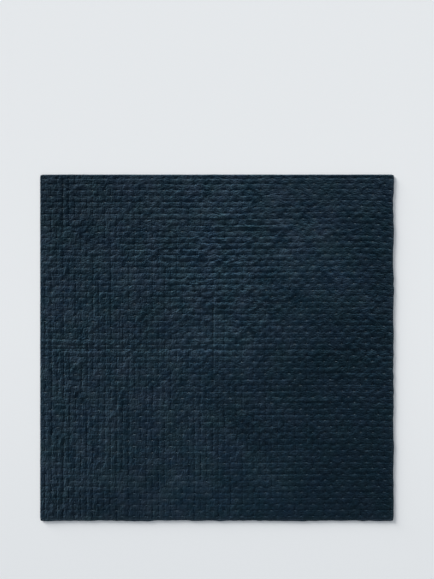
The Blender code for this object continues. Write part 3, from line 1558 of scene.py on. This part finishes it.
    def pressed(self, graph: Graph, at: VelvetPlace) -> Wire:
        """The long creases pressed in by folding.

        Args:
            graph: The material's graph.
            at: Where the point lies.

        Returns:
            Their depth in metres, under 0 for a ridge.
        """
        place = graph.vector(at.x, at.y, self.line_slice)
        wander = (graph.noise(place, self.line_grain) - 0.5) * self.line_wander
        total = 0.0
        for line in self.lines:
            across, along = (at.y, at.x) if line.run is Run.CROSSWISE else (at.x, at.y)
            start = along.ramp(Ramp(line.start, line.start + self.line_fade))
            end = along.ramp(Ramp(line.end - self.line_fade, line.end, 1.0, 0.0))
            total = (across + wander - line.place).bell(self.line_width) * start * end * line.depth + total
        return total

    def colour(self, graph: Graph, at: VelvetPlace, hollows: Hollows, rubbed: Wire, normal: Wire) -> Wire:
        """The pile's colour, rubbed lighter and brushed both ways, with a painted sheen, painted highlights,
        painted dimming towards the right and the foot, and painted shade in the hollows.

        Args:
            graph: The material's graph.
            at: Where the point lies.
            hollows: The sunken places.
            rubbed: The noise by which the pile is rubbed.
            normal: The relief's normals.

        Returns:
            The colour.
        """
        # Painted dimming towards the right and the foot, with random patches of darker pile.
        tone_and_painted_dimming = at.x * self.painted_dimming_slope[0] + at.y * self.painted_dimming_slope[1]
        for grain, swing in self.tone_patch_grains:
            tone_and_painted_dimming = tone_and_painted_dimming + (graph.noise(at.point, grain) - 0.5) * swing
        tone_and_painted_dimming = tone_and_painted_dimming.ramp(self.dimming_ramp)
        streak_x, streak_y = self.streak_scale
        place = graph.vector(at.x * streak_x, at.y * streak_y, self.streak_slice)
        streak = graph.noise(place, self.streak_grain)
        rubbed = (rubbed * self.rubbed_share + streak * (1 - self.rubbed_share)).ramp(self.rubbed_ramp)
        # Painted catch-light along the foot, the head and the right edge.
        edge_catch_light = at.y.ramp(self.catch_light_foot) + at.y.ramp(self.catch_light_head) + at.x.ramp(self.catch_light_right)
        # Rubbed lighter at random, plus the painted catch-light.
        rubbed_and_highlit = rubbed * (1 - tone_and_painted_dimming * self.dimming_rubbed) + edge_catch_light * self.edge_catch_light
        # Plus the painted highlights on the lips behind the tacks.
        rubbed_and_highlit = rubbed_and_highlit + self.lip_glint(graph, at) * (1 - tone_and_painted_dimming * self.dimming_lip)
        # Painted sheen: by the Layer Weight's facing, slopes that turn away from the view are painted
        # lighter.
        facing = graph.node("ShaderNodeLayerWeight", {}, {"Blend": 0.5, "Normal": normal})[1]
        rim = facing * self.rim * (1 - tone_and_painted_dimming * self.dimming_rim)
        pile = graph.blend(rim, graph.blend(rubbed_and_highlit, self.navy, self.steel), self.painted_sheen_blue)
        pile = graph.blend(tone_and_painted_dimming * self.dimming_share, pile, self.dimmed_blue)
        # Painted shade in the creases and the dimples at the tacks.
        sunk = (hollows.crosswise + hollows.lengthwise + hollows.pit).ramp(self.painted_shade_ramp)
        colour = graph.blend(1 - sunk * self.painted_shade_share, self.painted_crease_shade, pile)
        values = {0: colour, 1: self.tint(graph, at)}
        return graph.node("ShaderNodeVectorMath", {"operation": "MULTIPLY"}, values)[0]

    def lip_glint(self, graph: Graph, at: VelvetPlace) -> Wire:
        """A painted highlight on the lip of pile behind each tack, stronger at some tacks than at others.

        Args:
            graph: The material's graph.
            at: Where the point lies.

        Returns:
            How much the painted highlight lightens the pile there, from 0.
        """
        glint_spot = at.du.bell(self.pit_width) * (at.dv - self.lip_place).bell(self.lip_length)
        tack = graph.vector(at.slant, at.counter, self.lip_slice)
        return glint_spot * graph.noise(tack, self.lip_grain).ramp(self.lip_glint_ramp)

    def tint(self, graph: Graph, at: VelvetPlace) -> Wire:
        """The slow change of tone and hue over the quilt.

        Args:
            graph: The material's graph.
            at: Where the point lies.

        Returns:
            What red, green and blue are multiplied by.
        """
        plum = graph.noise(graph.vector(at.x, at.y, self.plum_slice), self.hue_grain).ramp(self.hue_ramp)
        ink = graph.noise(graph.vector(at.x, at.y, self.ink_slice), self.hue_grain).ramp(self.hue_ramp)
        tone = self.patches(at.x, at.y, self.tones) + 1
        blue = plum * self.plum_blue + ink * self.ink_blue + 1
        return graph.vector((plum * self.plum_red + 1) * tone, tone, blue * tone)

    def patches(self, x: Wire, y: Wire, areas: Sequence[Patch]) -> Wire:
        """The areas' changes, added up.

        Args:
            x: The point's place across.
            y: The point's place along.
            areas: The areas.

        Returns:
            The change at the point.
        """
        total = 0.0
        for area in areas:
            total = (x - area.x).bell(area.reach_x) * (y - area.y).bell(area.reach_y) * area.amount + total
        return total


@dataclass(frozen=True)
class Thread:
    """Dull slate-blue cotton thread, paler towards the head end."""

    dark: Colour = (0.013, 0.034, 0.052, 1.0)
    light: Colour = (0.080, 0.112, 0.132, 1.0)
    ply_scale: float = 900.0
    ply_slant: float = 0.6
    ply_depth: float = 0.0002
    ply_share: float = 0.3
    tone_grain: Grain = Grain(14.0, 2.0, 0.7)
    tone_ramp: Ramp = Ramp(0.35, 0.65)
    head_ramp: Ramp = Ramp(-1.2, -0.2, 0.2, 0.95)
    roughness: float = 0.7
    specular: float = 0.2

    def material(self) -> bpy.types.Material:
        """Build the finish.

        Returns:
            The material.
        """
        graph = Graph.for_material("thread")
        place = graph.place()
        x, y, _ = graph.parts(place)
        ply = ((x + y * self.ply_slant) * self.ply_scale).wave() * 0.5 + 0.5
        tone = graph.noise(place, self.tone_grain).ramp(self.tone_ramp)
        # Paler with the noise and the ply, and darker towards the foot end.
        paleness = (tone * (1 - self.ply_share) + ply * self.ply_share) * y.ramp(self.head_ramp)
        graph.dress(Base_Color=graph.blend(paleness, self.dark, self.light),
                    Normal=graph.bump(ply * self.ply_depth), Roughness=self.roughness,
                    Specular_IOR_Level=self.specular)
        return graph.owner


@dataclass(frozen=True)
class Backing:
    """Plain woven navy cotton on the underside."""

    shade: Colour = (0.012, 0.024, 0.040, 1.0)
    light: Colour = (0.024, 0.042, 0.064, 1.0)
    threads_per_metre: float = 1100.0
    weave_depth: float = 0.00012
    weave_share: float = 0.2
    cloud_grain: Grain = Grain(14.0, 3.0, 0.6)
    cloud_ramp: Ramp = Ramp(0.3, 0.7)
    cloud_share: float = 0.6
    roughness: float = 0.9
    specular: float = 0.1

    def material(self) -> bpy.types.Material:
        """Build the finish.

        Returns:
            The material.
        """
        graph = Graph.for_material("backing")
        place = graph.place()
        x, y, _ = graph.parts(place)
        turn = math.pi * self.threads_per_metre
        weave = (x * turn).wave() * (y * turn).wave()
        cloud = graph.noise(place, self.cloud_grain).ramp(self.cloud_ramp)
        share = cloud * self.cloud_share + weave * self.weave_share + self.weave_share
        graph.dress(Base_Color=graph.blend(share, self.shade, self.light),
                    Normal=graph.bump(weave * self.weave_depth), Roughness=self.roughness,
                    Specular_IOR_Level=self.specular)
        return graph.owner


# --------------------------------------------------------------------------- studio


@dataclass(frozen=True)
class PaleFloor:
    """A plain pale matt floor, with a painted falloff of light that leaves it a little dimmer towards the
    foot end.
    """

    falloff_dim: Colour = (0.791, 0.812, 0.838, 1.0)
    pale: Colour = (0.849, 0.867, 0.890, 1.0)
    falloff_ramp: Ramp = Ramp(-2.2, 0.4)
    roughness: float = 0.9
    specular: float = 0.0

    def material(self) -> bpy.types.Material:
        """Build the finish.

        Returns:
            The material.
        """
        graph = Graph.for_material("pale_floor")
        _, y, _ = graph.parts(graph.place())
        # Painted falloff of light towards the foot end.
        graph.dress(Base_Color=graph.blend(y.ramp(self.falloff_ramp), self.falloff_dim, self.pale),
                    Roughness=self.roughness, Specular_IOR_Level=self.specular)
        return graph.owner


@dataclass(frozen=True)
class Sun:
    """A broad, far light: where it stands, and how it shines."""

    name: str
    bearing: float
    elevation: float
    spread: float
    strength: float
    colour: tuple[float, float, float]
    distance: float = 30.0

    def add(self, lit: Sequence[bpy.types.Object]) -> None:
        """Add the light.

        Args:
            lit: The pieces it shines on; every piece shades it.
        """
        run, rise = self.distance * math.cos(self.elevation), self.distance * math.sin(self.elevation)
        place = Vector((run * math.cos(self.bearing), run * math.sin(self.bearing), rise))
        deselect_all()
        bpy.ops.object.light_add(type="SUN", location=place)
        lamp = bpy.context.object
        lamp.name = self.name
        lamp.rotation_euler = (-place).to_track_quat("-Z", "Y").to_euler()
        lamp.data.angle = self.spread
        lamp.data.energy = self.strength
        lamp.data.color = self.colour
        receivers = bpy.data.collections.new(self.name + "_lit")
        for piece in lit:
            receivers.objects.link(piece)
        lamp.light_linking.receiver_collection = receivers


@dataclass(frozen=True)
class Studio:
    """A plain pale floor, broad soft light from the head's left, and a camera straight above."""

    floor_size: float = 400.0
    floor_gap: float = 0.0005
    cloth_key: Sun = Sun("cloth_key", math.radians(108), math.radians(15.5), math.radians(22), 6.2,
                         (0.99, 0.98, 0.96))
    floor_key: Sun = Sun("floor_key", math.radians(136), math.radians(12.5), math.radians(23), 6.9,
                         (1.0, 0.98, 0.94))
    sky_colour: Colour = (0.93, 0.975, 1.02, 1.0)
    # The sky's strength, from the horizon up.
    sky_ramp: Ramp = Ramp(0.0, 0.40, 0.82, 0.46)
    camera_place: tuple[float, float, float] = (-0.001, 0.4128, 4.0)
    view_height: float = 4.0924
    sensor: float = 36.0

    def build(self, quilt: Sequence[bpy.types.Object]) -> None:
        """Add the floor, the light and the camera.

        Args:
            quilt: The quilt's pieces.
        """
        floor = self.add_floor()
        self.add_sky()
        self.cloth_key.add(quilt)
        self.floor_key.add([floor])
        self.add_camera()

    def add_floor(self) -> bpy.types.Object:
        """Add the floor a hair below the quilt.

        Returns:
            The floor.
        """
        deselect_all()
        bpy.ops.mesh.primitive_plane_add(size=self.floor_size, location=(0, 0, -self.floor_gap))
        floor = bpy.context.object
        floor.name = floor.data.name = "floor"
        floor.data.materials.append(PaleFloor().material())
        return floor

    def add_sky(self) -> None:
        """Light everything evenly from all round, and a little more from low down."""
        world = bpy.data.worlds.new("studio")
        bpy.context.scene.world = world
        graph = Graph(world, "Background")
        _, _, rise = graph.parts(graph.node("ShaderNodeTexCoord", {}, {})[0])
        graph.dress(Color=self.sky_colour, Strength=rise.ramp(self.sky_ramp))

    def add_camera(self) -> None:
        """Add the camera, looking straight down."""
        deselect_all()
        bpy.ops.object.camera_add(location=self.camera_place, rotation=(0, 0, 0))
        camera = bpy.context.object
        camera.name = "camera"
        camera.data.sensor_width = self.sensor
        camera.data.lens = self.sensor * self.camera_place[2] / self.view_height
        bpy.context.scene.camera = camera
        bpy.context.scene.view_settings.view_transform = "Standard"


def main() -> None:
    """Build the quilt and the studio, and report each piece."""
    low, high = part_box(NODE)
    width, length = high.x - low.x, high.y - low.y
    lattice = Lattice(width, length)
    cloth = QuiltCloth(lattice, Outline(width, length))
    skin = cloth.build()
    cloth.dress()
    tacks = TackStitches(lattice)
    stitches = tacks.build(cloth.tack_points)
    tacks.dress()
    for piece in (skin, stitches):
        LOG.info("%s: %d points, %d faces", piece.name, len(piece.data.vertices), len(piece.data.polygons))
        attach(piece, BODY)
    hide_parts(NODE)
    Studio().build((skin, stitches))


if __name__ == "__main__":
    main()
